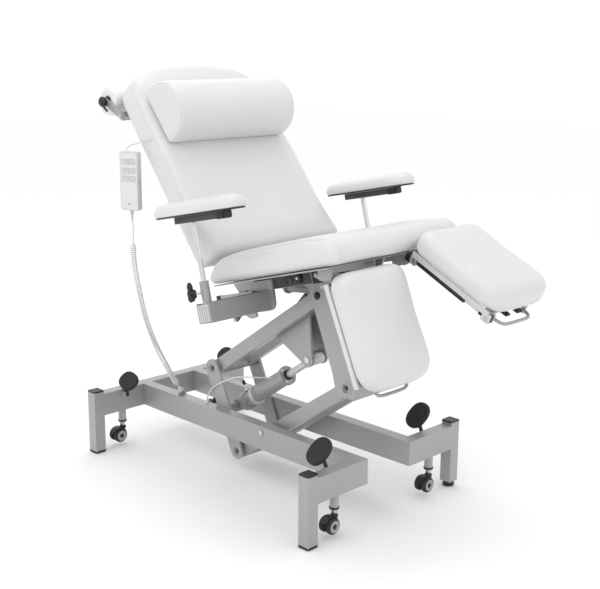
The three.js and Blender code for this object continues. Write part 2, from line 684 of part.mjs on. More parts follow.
const back = addGroup(seat, BACK_PIVOT[0], 0, BACK_PIVOT[1], -BACK_LEAN);
addPart(back, 'back_frame', backFrame(), greyPaint);
addPart(back, 'back_cushion', backCushion(), whiteVinyl);
addPart(back, 'head_bolster', headBolster(), whiteVinyl);
addPart(back, 'paper_roll', paperRoll(), paper);

addArmrest(seat, 'right_armrest', -1);
addArmrest(seat, 'left_armrest', 1);
addLegRest(seat, 'right_leg', -1, LEG_HANGING);
addLegRest(seat, 'left_leg', 1, LEG_RAISED);
addHandset();

const group = new THREE.Group();
group.add(chair);
export default group;
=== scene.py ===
import json
import math

import bmesh
import bpy
from mathutils import Matrix, Vector
from mathutils.bvhtree import BVHTree

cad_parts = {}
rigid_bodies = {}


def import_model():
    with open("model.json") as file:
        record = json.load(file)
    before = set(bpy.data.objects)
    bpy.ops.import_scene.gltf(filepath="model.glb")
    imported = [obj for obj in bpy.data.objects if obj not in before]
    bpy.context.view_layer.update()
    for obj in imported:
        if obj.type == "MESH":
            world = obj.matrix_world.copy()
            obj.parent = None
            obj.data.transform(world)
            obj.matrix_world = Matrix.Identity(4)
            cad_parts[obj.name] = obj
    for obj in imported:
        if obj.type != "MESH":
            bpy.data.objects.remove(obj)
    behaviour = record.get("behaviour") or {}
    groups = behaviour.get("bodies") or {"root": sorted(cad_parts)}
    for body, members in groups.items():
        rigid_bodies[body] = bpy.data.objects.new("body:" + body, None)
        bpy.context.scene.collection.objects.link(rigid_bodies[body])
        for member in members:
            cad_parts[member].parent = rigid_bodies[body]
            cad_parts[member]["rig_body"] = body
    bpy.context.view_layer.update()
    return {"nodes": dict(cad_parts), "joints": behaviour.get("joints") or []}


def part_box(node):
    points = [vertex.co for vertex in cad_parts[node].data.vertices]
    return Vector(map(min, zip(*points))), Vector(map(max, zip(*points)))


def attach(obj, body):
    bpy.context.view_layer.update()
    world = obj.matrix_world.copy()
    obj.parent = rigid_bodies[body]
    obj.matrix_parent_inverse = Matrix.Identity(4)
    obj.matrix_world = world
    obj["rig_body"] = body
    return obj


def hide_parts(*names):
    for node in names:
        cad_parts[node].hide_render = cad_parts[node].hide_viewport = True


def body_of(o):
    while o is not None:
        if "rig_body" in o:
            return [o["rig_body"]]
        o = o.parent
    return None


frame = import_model()
JOINTS = {j["name"]: j for j in frame["joints"]}
SCENE = bpy.context.scene


def pivot(joint):
    """The rest position of a hinge."""
    return Vector(JOINTS[joint]["pos_m"])


def local(origin, lean):
    """A frame at origin whose +X rises by lean degrees, with +Y unchanged."""
    return Matrix.Translation(origin) @ Matrix.Rotation(-math.radians(lean), 4, "Y")


# Local frames, each with its origin on a pivot. mm() turns drawing sizes to metres.
SEAT = local(pivot("seat_tilt"), 15)
BACK = local(pivot("back_recline"), 39.2)
KNEE = {s: Vector((pivot(s + "_leg_raise").x, 0, pivot(s + "_leg_raise").z)) for s in ("right", "left")}
LEG = {"right": local(KNEE["right"], -66), "left": local(KNEE["left"], -26)}
ARM = {s: local(pivot(s + "_armrest_swing"), 12) for s in ("right", "left")}
BASE = Matrix.Translation(Vector((pivot("lift").x + 0.167, 0, 0)))
SIDE = {"right": -1, "left": 1}
POST_X, POST_Y = 524, 328.7
CASTER_Y = 220


def mm(*v):
    return Vector(v) / 1000


# ---- Camera first ----

camera_data = bpy.data.cameras.new("camera")
camera = bpy.data.objects.new("camera", camera_data)
SCENE.collection.objects.link(camera)
camera_data.sensor_width = 36
camera_data.lens = 65.6
camera_data.clip_end = 60
AZ, EL, ROLL = math.radians(45.08), math.radians(13.19), math.radians(0.35)
to_eye = Vector((math.sin(AZ) * math.cos(EL), -math.cos(AZ) * math.cos(EL), math.sin(EL)))
across = Vector((math.cos(AZ), math.sin(AZ), 0))
upright = to_eye.cross(across)
eye_x = math.cos(ROLL) * across + math.sin(ROLL) * upright
eye_y = -math.sin(ROLL) * across + math.cos(ROLL) * upright
eye = BASE @ mm(2563.3, -2400.7, 1430.4)
camera.matrix_world = Matrix.Translation(eye) @ Matrix((eye_x, eye_y, to_eye)).transposed().to_4x4()
SCENE.camera = camera
SCENE.view_settings.view_transform = "Standard"


# ---- Materials ----

def material(name, color, rough, metal=0.0, grain=None, coat=0.0, sheen=0.0):
    """A principled material. grain is (scale, bump strength, colour spread)."""
    m = bpy.data.materials.new(name)
    m.use_nodes = True
    nt = m.node_tree
    b = nt.nodes["Principled BSDF"]
    b.inputs["Base Color"].default_value = (*color, 1)
    b.inputs["Roughness"].default_value = rough
    b.inputs["Metallic"].default_value = metal
    b.inputs["Coat Weight"].default_value = coat
    b.inputs["Coat Roughness"].default_value = 0.3
    b.inputs["Sheen Weight"].default_value = sheen
    if grain:
        scale, strength, spread = grain
        at = nt.nodes.new("ShaderNodeTexCoord")
        fine = nt.nodes.new("ShaderNodeTexNoise")
        fine.inputs["Scale"].default_value = scale
        fine.inputs["Detail"].default_value = 4
        nt.links.new(at.outputs["Object"], fine.inputs["Vector"])
        bump = nt.nodes.new("ShaderNodeBump")
        bump.inputs["Strength"].default_value = strength
        bump.inputs["Distance"].default_value = 0.0004
        nt.links.new(fine.outputs["Fac"], bump.inputs["Height"])
        nt.links.new(bump.outputs["Normal"], b.inputs["Normal"])
        broad = nt.nodes.new("ShaderNodeTexNoise")
        broad.inputs["Scale"].default_value = 5
        broad.inputs["Detail"].default_value = 3
        nt.links.new(at.outputs["Object"], broad.inputs["Vector"])
        ramp = nt.nodes.new("ShaderNodeValToRGB")
        ramp.color_ramp.elements[0].position = 0.35
        ramp.color_ramp.elements[1].position = 0.65
        ramp.color_ramp.elements[0].color = (*[max(0, c - spread) for c in color], 1)
        ramp.color_ramp.elements[1].color = (*[min(1, c + spread) for c in color], 1)
        nt.links.new(broad.outputs["Fac"], ramp.inputs["Fac"])
        nt.links.new(ramp.outputs["Color"], b.inputs["Base Color"])
    return m


MAT = {
    "vinyl": material("white_vinyl", (0.66, 0.665, 0.67), 0.36, grain=(900, 0.12, 0.008), coat=0.12),
    "paint": material("grey_paint", (0.36, 0.365, 0.37), 0.38, 0.25, grain=(500, 0.1, 0.012), coat=0.2),
    "chrome": material("chrome", (0.66, 0.67, 0.68), 0.1, 1.0),
    "steel": material("bright_metal", (0.62, 0.63, 0.64), 0.28, 0.9, grain=(300, 0.05, 0.02)),
    "alloy": material("satin_alloy", (0.66, 0.67, 0.68), 0.42, 0.45, grain=(400, 0.05, 0.02)),
    "black": material("black_plastic", (0.012, 0.012, 0.013), 0.42, grain=(700, 0.15, 0.002)),
    "rubber": material("dark_rubber", (0.018, 0.018, 0.019), 0.68, grain=(500, 0.2, 0.004)),
    "wheel": material("wheel_plastic", (0.13, 0.133, 0.137), 0.5, grain=(500, 0.1, 0.01)),
    "ring": material("wheel_ring", (0.34, 0.345, 0.35), 0.4, grain=(500, 0.1, 0.01)),
    "grey": material("grey_plastic", (0.60, 0.61, 0.62), 0.42, grain=(800, 0.1, 0.01)),
    "keys": material("key_line", (0.22, 0.23, 0.25), 0.5),
    "panel": material("key_panel", (0.68, 0.69, 0.70), 0.35),
    "cord": material("cord_plastic", (0.66, 0.67, 0.68), 0.38),
    "paper": material("paper", (0.82, 0.82, 0.81), 0.85, grain=(1200, 0.3, 0.01), sheen=0.1),
    "card": material("cardboard", (0.42, 0.33, 0.24), 0.85, grain=(600, 0.3, 0.03)),
    "lining": material("lining_cloth", (0.24, 0.245, 0.25), 0.9, grain=(1500, 0.5, 0.02), sheen=0.2),
    # Painted shade: near-black steel that stands in for the shadow under the seat and the arm pads.
    "painted_shade": material("painted_shade_steel", (0.075, 0.077, 0.08), 0.5, 0.3, grain=(400, 0.1, 0.01)),
}


# ---- Mesh helpers ----

def finish_mesh(name, bm, mat, at, body, smooth=35.0, bevel=0.0, segments=2):
    """Makes an object from bm, drawn in mm in the frame `at`, that rides on `body`."""
    for v in bm.verts:
        v.co = at @ (v.co / 1000)
    bmesh.ops.remove_doubles(bm, verts=bm.verts, dist=1e-7)
    bmesh.ops.recalc_face_normals(bm, faces=bm.faces)
    me = bpy.data.meshes.new(name)
    bm.to_mesh(me)
    bm.free()
    ob = bpy.data.objects.new(name, me)
    SCENE.collection.objects.link(ob)
    me.materials.append(MAT[mat])
    for p in me.polygons:
        p.use_smooth = True
    me.set_sharp_from_angle(angle=math.radians(smooth))
    if bevel:
        b = ob.modifiers.new("bevel", "BEVEL")
        b.width = bevel / 1000
        b.segments = segments
        b.limit_method = "ANGLE"
        b.angle_limit = math.radians(40)
        b.harden_normals = True
    if body:
        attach(ob, body)
    return ob


def box(name, x, y, z, mat, at, body, bevel=1.0):
    """A block between pairs of limits."""
    bm = bmesh.new()
    bmesh.ops.create_cube(bm, size=1)
    for v in bm.verts:
        v.co = Vector((
            x[0] + (v.co.x + 0.5) * (x[1] - x[0]),
            y[0] + (v.co.y + 0.5) * (y[1] - y[0]),
            z[0] + (v.co.z + 0.5) * (z[1] - z[0]),
        ))
    return finish_mesh(name, bm, mat, at, body, bevel=bevel)


def spun(name, profile, start, end, mat, at, body, steps=40, smooth=35.0):
    """A turned piece: profile is (distance along the axis, radius) from start towards end."""
    a, b = Vector(start), Vector(end)
    w = (b - a).normalized()
    u = w.orthogonal().normalized()
    v = w.cross(u)
    bm = bmesh.new()
    rings = []
    for d, r in profile:
        if r <= 0:
            rings.append([bm.verts.new(a + w * d)])
            continue
        ring = []
        for k in range(steps):
            t = 2 * math.pi * k / steps
            ring.append(bm.verts.new(a + w * d + (u * math.cos(t) + v * math.sin(t)) * r))
        rings.append(ring)
    for lo, hi in zip(rings, rings[1:]):
        for k in range(steps):
            j = (k + 1) % steps
            corners = [lo[k % len(lo)], lo[j % len(lo)], hi[j % len(hi)], hi[k % len(hi)]]
            unique = list(dict.fromkeys(corners))
            if len(unique) > 2:
                bm.faces.new(unique)
    return finish_mesh(name, bm, mat, at, body, smooth)


def pin(name, start, end, radius, mat, at, body, chamfer=1.0, steps=40):
    """A round bar with chamfered ends."""
    length = (Vector(end) - Vector(start)).length
    c = min(chamfer, radius * 0.6, length * 0.4)
    profile = [(0, 0), (0, radius - c), (c, radius), (length - c, radius), (length, radius - c),
               (length, 0)]
    return spun(name, profile, start, end, mat, at, body, steps)


def hexagon(name, centre, axis, across_flats, height, mat, at, body):
    """A hexagonal bolt head with a domed top and a washer under it."""
    a = Vector(axis).normalized()
    c = Vector(centre)
    r = across_flats / math.sqrt(3)
    pin(name + "_washer", c, c + a * 1.6, r * 1.25, "steel", at, body, 0.5, 28)
    profile = [(0, 0), (0, r), (height * 0.8, r), (height, r * 0.8), (height, 0)]
    return spun(name, profile, c + a * 1.6, c + a * (1.6 + height), mat, at, body, 6, 20)


def tube(name, points, radius, mat, at, body, smooth_path=True, sides=4, radii=None):
    """A bar or a wire along points."""
    data = bpy.data.curves.new(name, "CURVE")
    data.dimensions = "3D"
    data.bevel_depth = radius / 1000
    data.bevel_resolution = sides
    data.use_fill_caps = True
    sp = data.splines.new("NURBS" if smooth_path else "POLY")
    sp.points.add(len(points) - 1)
    for k, p in enumerate(points):
        sp.points[k].co = (*(at @ (Vector(p) / 1000)), 1)
        sp.points[k].radius = radii[k] if radii else 1
    if smooth_path:
        sp.order_u = 4
        sp.use_endpoint_u = True
        sp.resolution_u = 6
    data.materials.append(MAT[mat])
    ob = bpy.data.objects.new(name, data)
    SCENE.collection.objects.link(ob)
    if body:
        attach(ob, body)
    return ob


def offset_ring(points, inset):
    """A closed 2D outline moved inwards along its vertex normals."""
    n = len(points)
    following = points[1:] + points[:1]
    area = sum(p[0] * q[1] - q[0] * p[1] for p, q in zip(points, following))
    turn = 1 if area > 0 else -1
    out = []
    for i in range(n):
        p, q, r = Vector(points[i - 1]), Vector(points[i]), Vector(points[(i + 1) % n])
        a, b = (q - p).normalized(), (r - q).normalized()
        na, nb = Vector((-a.y, a.x)) * turn, Vector((-b.y, b.x)) * turn
        m = (na + nb).normalized()
        out.append(q + m * inset / max(0.5, m.dot(na)))
    return out


def rounded(points, radii, step=6):
    """A closed polygon with rounded corners."""
    n = len(points)
    out = []
    for i in range(n):
        p, q, r = Vector(points[i - 1]), Vector(points[i]), Vector(points[(i + 1) % n])
        cut = min(radii[i], (q - p).length * 0.48, (r - q).length * 0.48)
        a, b = q + (p - q).normalized() * cut, q + (r - q).normalized() * cut
        for k in range(step + 1):
            t = k / step
            out.append((1 - t) ** 2 * a + 2 * t * (1 - t) * q + t * t * b)
    return out


def plate(name, outline, w, mat, at, body, swap="XZ", bevel=1.0):
    """A flat plate: outline in X and Z with w across Y, or in X and Y with w along Z."""
    bm = bmesh.new()
    low, high = [], []
    for p in outline:
        for ring, d in ((low, w[0]), (high, w[1])):
            ring.append(bm.verts.new((p[0], d, p[1]) if swap == "XZ" else (p[0], p[1], d)))
    bm.faces.new(low)
    bm.faces.new(list(reversed(high)))
    n = len(outline)
    for i in range(n):
        bm.faces.new((low[i], low[(i + 1) % n], high[(i + 1) % n], high[i]))
    return finish_mesh(name, bm, mat, at, body, bevel=bevel)


# ---- Padded pieces ----

# The share of the cloth's swelling that the tight upholstery keeps.
CLOTH_SHARE = 0.3

def rolled(outline, w, low, high, place):
    """A closed soft block: outline (a, b) swept along w, with rolls (inset, height) at both ends."""
    bm = bmesh.new()
    sines = [math.sin(math.pi / 2 * k / 5) for k in range(6)]
    cosines = [math.cos(math.pi / 2 * k / 5) for k in range(6)]
    levels = [(w[0] + low[1] * (1 - c), low[0] * (1 - t)) for t, c in zip(sines, cosines)]
    levels += [(w[1] - high[1] * (1 - t), high[0] * (1 - c)) for t, c in zip(sines, cosines)]
    rings = []
    for d, inset in levels:
        rings.append([bm.verts.new(place(p[0], p[1], d)) for p in offset_ring(outline, inset)])
    n = len(outline)
    for lo, hi in zip(rings, rings[1:]):
        for i in range(n):
            bm.faces.new((lo[i], lo[(i + 1) % n], hi[(i + 1) % n], hi[i]))
    bm.faces.new(rings[0])
    bm.faces.new(list(reversed(rings[-1])))
    bmesh.ops.triangulate(bm, faces=[f for f in bm.faces if len(f.verts) > 4])
    return bm


def applied(ob):
    """Bakes an object's modifiers into its mesh."""
    dg = bpy.context.evaluated_depsgraph_get()
    me = bpy.data.meshes.new_from_object(ob.evaluated_get(dg))
    ob.modifiers.clear()
    ob.data = me


def cushion(name, bm, at, body, held, voxel=6.0, pressure=4.0, cap=24.0, shape=None):
    """A padded piece: remeshed, blown up a little as cloth where `held` is false, then smoothed."""
    bmesh.ops.recalc_face_normals(bm, faces=bm.faces)
    me = bpy.data.meshes.new(name)
    for v in bm.verts:
        v.co = v.co / 1000
    bm.to_mesh(me)
    bm.free()
    ob = bpy.data.objects.new(name, me)
    SCENE.collection.objects.link(ob)
    r = ob.modifiers.new("remesh", "REMESH")
    r.mode = "VOXEL"
    r.voxel_size = voxel / 1000 * 1
    applied(ob)
    me = ob.data
    if shape:
        for v in me.vertices:
            v.co = Vector(shape(*(v.co * 1000))) / 1000
    rest = [v.co.copy() for v in me.vertices]
    pins = ob.vertex_groups.new(name="held")
    pins.add([i for i, c in enumerate(rest) if held(*(c * 1000))], 1, "REPLACE")
    cloth = ob.modifiers.new("cloth", "CLOTH")
    s = cloth.settings
    s.quality = 3
    s.mass = 0.4
    s.tension_stiffness = 25
    s.compression_stiffness = 25
    s.shear_stiffness = 12
    s.bending_stiffness = 3
    s.use_pressure = True
    s.uniform_pressure_force = pressure
    s.vertex_group_mass = "held"
    s.effector_weights.gravity = 0
    cloth.collision_settings.use_collision = False
    cloth.point_cache.frame_start = 1
    cloth.point_cache.frame_end = 20
    for f in range(1, 21):
        SCENE.frame_set(f)
    dg = bpy.context.evaluated_depsgraph_get()
    done = ob.evaluated_get(dg).data
    moved = [v.co.copy() for v in done.vertices]
    SCENE.frame_set(1)
    ob.modifiers.clear()
    limit = cap / 1000
    for v, a, b in zip(me.vertices, rest, moved):
        d = b - a
        v.co = a + (d if d.length < limit else d.normalized() * limit) * CLOTH_SHARE
    sub = ob.modifiers.new("smooth", "CORRECTIVE_SMOOTH")
    sub.iterations = 6
    sub.factor = 0.5
    sub.smooth_type = "SIMPLE"
    sub.use_only_smooth = True
    div = ob.modifiers.new("subsurf", "SUBSURF")
    div.levels = div.render_levels = 1
    applied(ob)
    me = ob.data
    me.transform(at)
    me.materials.clear()
    me.materials.append(MAT["vinyl"])
    for p in me.polygons:
        p.use_smooth = True
    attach(ob, body)
    return ob


def welt(name, ob, points, at, radius=1.1):
    """A sewn seam: a thin closed cord of vinyl that lies on the cushion's surface."""
    me = ob.data
    world = ob.matrix_world
    tree = BVHTree.FromPolygons([world @ v.co for v in me.vertices],
                                [tuple(p.vertices) for p in me.polygons])
    path = []
    for p in points:
        hit, normal = tree.find_nearest(at @ (Vector(p) / 1000))[:2]
        path.append(hit + normal * 0.0002)
    data = bpy.data.curves.new(name, "CURVE")
    data.dimensions = "3D"
    data.bevel_depth = radius / 1000
    data.bevel_resolution = 2
    sp = data.splines.new("POLY")
    sp.points.add(len(path) - 1)
    for k, p in enumerate(path):
        sp.points[k].co = (*p, 1)
    sp.use_cyclic_u = True
    data.materials.append(MAT["vinyl"])
    seam = bpy.data.objects.new(name, data)
    SCENE.collection.objects.link(seam)
    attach(seam, body_of(ob)[0])
    return seam


def dense(outline, step=8.0):
    """A closed outline with extra points along its long sides."""
    out = []
    n = len(outline)
    for i in range(n):
        p, q = Vector(outline[i]), Vector(outline[(i + 1) % n])
        k = max(1, int((q - p).length / step))
        out += [p.lerp(q, j / k) for j in range(k)]
    return out


def build_cushions():
    # Seat
    seat_side = [(-212, 27), (344, 27), (356, 48), (350, 82), (322, 103), (230, 111),
                 (60, 111), (-110, 109), (-166, 98), (-196, 74), (-213, 48)]
    side = rounded(seat_side, [10, 10, 14, 18, 40, 90, 90, 60, 30, 20, 14])
    bm = rolled(side, (-285, 285), (34, 30), (34, 30), lambda a, b, w: (a, w, b))

    def seat_shape(x, y, z):
        dish = 5 * math.exp(-((x - 20) / 150) ** 2) * max(0, 1 - (y / 230) ** 2)
        return x, y, z - dish * max(0, min(1, (z - 60) / 50))

    seat = cushion("seat_upholstery", bm, SEAT, "seat", lambda x, y, z: z < 34, cap=22, shape=seat_shape)
    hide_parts("seat_cushion")
    seam = [(p[0], 262, p[1]) for p in dense(side)]
    welt("seat_seam_left", seat, seam, SEAT)
    welt("seat_seam_right", seat, [(x, -y, z) for x, y, z in seam], SEAT)

    # Back
    arch = [(268 * math.cos(t), 655 + 85 * math.sin(t)) for t in [math.pi * k / 24 for k in range(25)]]
    outline = [Vector((-270, 15)), Vector((270, 15)), Vector((283, 20)), Vector((288, 34))]
    outline += [Vector((288 - 14 * k / 8, 34 + 600 * k / 8)) for k in range(1, 9)]
    outline += [Vector(p) for p in arch[1:-1]]
    outline += [Vector((-274 - 14 * k / 8, 634 - 600 * k / 8)) for k in range(0, 9)]
    outline += [Vector((-283, 20))]
    bm = rolled(outline, (11, 108), (10, 10), (24, 28), lambda a, b, w: (w, a, b))

    def back_shape(n, y, u):
        front = max(0, min(1, (n - 50) / 50))
        hollow = 7 * math.exp(-((u - 150) / 120) ** 2) * (1 - (y / 300) ** 2)
        wing = 6 * math.exp(-((u - 160) / 130) ** 2) * max(0, abs(y) - 150) / 140
        return n - front * (hollow + wing), y, u

    back = cushion("back_upholstery", bm, BACK, "backrest", lambda n, y, u: n < 18, cap=24,
                   shape=back_shape)
    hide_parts("back_cushion")
    welt("back_seam", back, [(80, p[0], p[1]) for p in dense(outline)], BACK, 1.0)

    # Bolster: a round roll with its rear side flat against the back
    centre, radius = (152, 507), 99
    flat = math.acos((centre[0] - 114) / radius)
    ring = [(centre[0] + radius * math.cos(t), centre[1] + radius * math.sin(t))
            for t in [-math.pi + flat + (2 * math.pi - 2 * flat) * k / 60 for k in range(61)]]
    bm = rolled([Vector(p) for p in ring], (-262, 234), (14, 14), (14, 14), lambda a, b, w: (a, w, b))
    bolster = cushion("bolster_upholstery", bm, BACK, "backrest", lambda n, y, u: n < 118, cap=22,
                      pressure=3)
    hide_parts("head_bolster")
    for s, w in ((-1, -259), (1, 231)):
        loop = [(centre[0] + (radius - 6) * math.cos(t), w, centre[1] + (radius - 6) * math.sin(t))
                for t in [2 * math.pi * k / 90 for k in range(90)]]
        welt("bolster_seam_%d" % s, bolster, loop, BACK, 1.3)

    # Legs and arms
    for name, s in SIDE.items():
        leg = rounded([(103, 16), (444, 16), (444, 284), (103, 284)], [52, 78, 78, 52], 9)
        leg = [Vector((p[0], s * p[1])) for p in leg]
        bm = rolled(leg, (7, 77), (8, 10), (34, 32), lambda a, b, w: (a, b, w))
        pad = cushion(name + "_leg_upholstery", bm, LEG[name], name + "_leg_rest",
                      lambda t, y, n: n < 14, voxel=5, cap=22)
        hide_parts(name + "_leg_cushion")
        welt(name + "_leg_seam", pad, [(p[0], p[1], 22) for p in dense(leg)], LEG[name], 0.9)
        arm = [(-138, -40), (-100, -52), (170, -54), (226, -30), (226, 30), (170, 54), (-100, 52),
               (-138, 40)]
        arm = rounded(arm, [30, 60, 60, 30, 30, 60, 60, 30])
        bm = rolled(arm, (14, 56), (6, 6), (40, 30), lambda a, b, w: (a, b, w))
        pad = cushion(name + "_arm_upholstery", bm, ARM[name], name + "_armrest_top",
                      lambda x, y, z: z < 19, voxel=5, cap=14, pressure=3)
        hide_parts(name + "_armrest_pad")
        plate(name + "_arm_board", offset_ring(arm, 5), (10.6, 14.5), "black", ARM[name],
              name + "_armrest_top", swap="XY", bevel=0.8)
        plate(name + "_leg_board", offset_ring(leg, 9), (5, 9), "alloy", LEG[name],
              name + "_leg_rest", swap="XY", bevel=0.8)
    inner = offset_ring(outline, 16)
    place = BACK @ Matrix(((0, 0, 1, 0), (1, 0, 0, 0), (0, 1, 0, 0), (0, 0, 0, 1)))
    plate("back_lining", inner, (9.4, 11.5), "lining", place, "backrest", swap="XY", bevel=0)


build_cushions()


# ---- Paper roll ----

def build_roll():
    p = pivot("paper_roll_spin") * 1000
    at = Matrix.Identity(4)
    lo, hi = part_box("paper_roll")
    y0, y1 = lo.y * 1000, hi.y * 1000
    depth = y1 - y0
    profile = [(3, 19), (0, 20), (0, 45), (1.2, 46.6), (depth - 1.2, 46.6), (depth, 45), (depth, 20),
               (depth - 3, 19)]
    roll = spun("paper_wound", profile, (p.x, y0, p.z), (p.x, y1, p.z), "paper", at, "paper_roll", 72, 25)
    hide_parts("paper_roll")
    core = [(1, 19.4), (1, 17.4), (depth - 1, 17.4), (depth - 1, 19.4), (1, 19.4)]
    spun("paper_core", core, (p.x, y0, p.z), (p.x, y1, p.z), "card", at, "paper_roll", 48)
    for k, r in enumerate([24, 28.5, 33, 37, 41]):
        for s, y in ((-1, y0), (1, y1)):
            ring = [(p.x + r * math.cos(t), y + s * 0.2, p.z + r * math.sin(t))
                    for t in [2 * math.pi * j / 60 for j in range(61)]]
            tube("paper_layer_%d_%d" % (k, s), ring, 0.35, "paper", at, "paper_roll", False, 1)
    bm = bmesh.new()
    rows = []
    for k in range(8):
        t = math.radians(200 + 5 * k)
        r = 46.9 + 0.25 * k
        x, z = p.x + r * math.cos(t), p.z + r * math.sin(t)
        rows.append([bm.verts.new((x, y, z)) for y in (y0 + 1, y1 - 1)])
    for a, b in zip(rows, rows[1:]):
        bm.faces.new((a[0], a[1], b[1], b[0]))
    flap = finish_mesh("paper_loose_edge", bm, "paper", at, "paper_roll")
    thick = flap.modifiers.new("thickness", "SOLIDIFY")
    thick.thickness = 0.0004
    # The bar's black knobs
    x, z = p.x, p.z
    knob = [(0, 0), (0, 13), (3, 16), (12, 17), (17, 13), (19, 7), (19.5, 0)]
    spun("roll_knob_near", knob, (x, -284, z), (x, -304, z), "black", at, "backrest")
    spun("roll_knob_far", [(0, 0), (0, 12), (8, 12), (10, 9), (10, 0)], (x, 284, z), (x, 296, z),
         "black", at, "backrest")
    lever = [(x + 3, -295, z - 6), (x + 10, -297, z - 16), (x + 20, -297, z - 24), (x + 30, -297, z - 28)]
    tube("roll_knob_tail", lever, 3.6, "black", at, "backrest")


build_roll()


# ---- Handset, hook and cord ----

def smooth_route(points, count):
    """Evenly spaced points on a smooth curve through the given ones."""
    pts = [Vector(p) for p in points]
    pts = [2 * pts[0] - pts[1], *pts, 2 * pts[-1] - pts[-2]]
    fine = []
    for i in range(1, len(pts) - 2):
        a, b, c, d = pts[i - 1], pts[i], pts[i + 1], pts[i + 2]
        for k in range(40):
            t = k / 40
            fine.append(0.5 * ((2 * b) + (c - a) * t + (2 * a - 5 * b + 4 * c - d) * t * t
                               + (3 * b - a - 3 * c + d) * t ** 3))
    fine.append(pts[-2])
    run = [0.0]
    for a, b in zip(fine, fine[1:]):
        run.append(run[-1] + (b - a).length)
    out, j = [], 0
    for k in range(count):
        s = run[-1] * k / (count - 1)
        while j < len(run) - 2 and run[j + 1] < s:
            j += 1
        t = (s - run[j]) / max(1e-9, run[j + 1] - run[j])
        out.append(fine[j].lerp(fine[j + 1], min(1, t)))
    return out, run[-1]


CORD_ROUTE = [
    (-312.0, -125.9, 240.8), (-306, -144, 264), (-294, -180, 313), (-287, -235, 408), (-292, -275, 514),
    (-294, -300, 620), (-295, -316, 716), (-288, -322, 797), (-286, -322, 812), (-285.5, -322, 828),
    (-288, -322, 846), (-290, -322, 866), (-290, -322, 888.5),
]


def build_cord():
    wire, radius, pitch = 1.75, 8.0, 7.2
    route, length = smooth_route(CORD_ROUTE, 1500)
    coil_from, coil_to = 20.0, length - 108.0
    turns = round((coil_to - coil_from) / pitch)
    per_turn = 14
    points = []
    normal = (route[1] - route[0]).orthogonal().normalized()
    total = turns * per_turn
    lead_in = [route[int(k * coil_from / length * 1499 / 6)] for k in range(6)]
    points += lead_in
    for k in range(total + 1):
        s = coil_from + (coil_to - coil_from) * k / total
        i = min(1498, int(s / length * 1499))
        heading = (route[i + 1] - route[i]).normalized()
        normal = (normal - heading * normal.dot(heading)).normalized()
        binormal = heading.cross(normal)
        ease = min(1.0, k / (1.5 * per_turn), (total - k) / (1.5 * per_turn))
        r = radius * (3 * ease ** 2 - 2 * ease ** 3)
        t = 2 * math.pi * k / per_turn
        points.append(route[i] + (normal * math.cos(t) + binormal * math.sin(t)) * r)
    first = int(coil_to / length * 1499) + 12
    points += [route[i] for i in range(first, 1494, 12)] + [route[-1]]
    cord = tube("curly_lead", points, wire, "cord", BASE, "base", False, 2)
    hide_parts("curly_cord", "handset_lead")


def build_handset():
    turn = Matrix.Rotation(math.radians(21), 4, "Z")
    at = BASE @ Matrix.Translation(mm(-290, -322, 983)) @ turn
    outline = rounded([(-33.5, -94), (33.5, -94), (33.5, 94), (-33.5, 94)], [7, 7, 7, 7])
    shell = plate("handset_shell", outline, (-12.5, 8), "grey", at, "base", bevel=2.2)
    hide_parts("handset")
    plate("handset_back", offset_ring(outline, 1.2), (8.4, 12.3), "grey", at, "base", bevel=2.2)
    plate("handset_panel", offset_ring(outline, 4.5), (-12.9, -12.3), "panel", at, "base", bevel=0.2)
    for row, z in enumerate((62, 33, 8)):
        for k, x in enumerate((-13, 13)):
            key = rounded([(x - 11.5, z - 8), (x + 11.5, z - 8), (x + 11.5, z + 8), (x - 11.5, z + 8)],
                          [3] * 4)
            plate("handset_key_%d_%d" % (row, k), key, (-13.4, -12.8), "grey", at, "base", bevel=0.3)
            loop = [(p.x, -13.3, p.y) for p in key]
            tube("handset_key_rim_%d_%d" % (row, k), loop + loop[:1], 0.4, "keys", at, "base", False, 1)
            mark = (k * 2 - 1) * 3
            arrow = [(x - 3.5, z - mark), (x, z + mark * 0.4), (x + 3.5, z - mark), (x, z - mark * 0.3)]
            tube("handset_arrow_%d_%d" % (row, k), [(a, -13.5, b) for a, b in arrow[:3]], 0.45, "keys", at,
                 "base", False, 1)
    box("handset_lamp", (-6, 6), (-13.2, -12.8), (-74, -71), "keys", at, "base", 0.2)
    relief = [(0, 0), (0, 7.5), (4, 7.5), (5, 6.2), (9, 6.2), (10, 5.4), (14, 5.4), (15, 4.6), (20, 4.6),
              (21, 3.9), (27, 3.6), (36, 2.6), (36, 0)]
    spun("handset_relief", relief, (0, 0, -93.5), (0, 0, -130), "grey", at, "base", 24)
    foot = BASE @ Matrix.Identity(4)
    a, b = Vector(CORD_ROUTE[0]), Vector(CORD_ROUTE[1])
    way = (b - a).normalized()
    boot = [(0, 0), (0, 9), (5, 9), (6, 7), (14, 6), (20, 3), (20, 0)]
    spun("rail_cord_boot", boot, a - way * 16, a + way * 4, "grey", foot, "base", 24)
    hook = [(-304, -326, 1076), (-306, -324, 1086), (-301, -314, 1096), (-288, -296, 1101),
            (-262, -287, 1108),
            (-236, -280, 1116), (-205, -262, 1124)]
    tube("handset_hook", hook, 1.7, "alloy", BASE, "backrest")


build_cord()
build_handset()


# ---- Casters and pedals ----

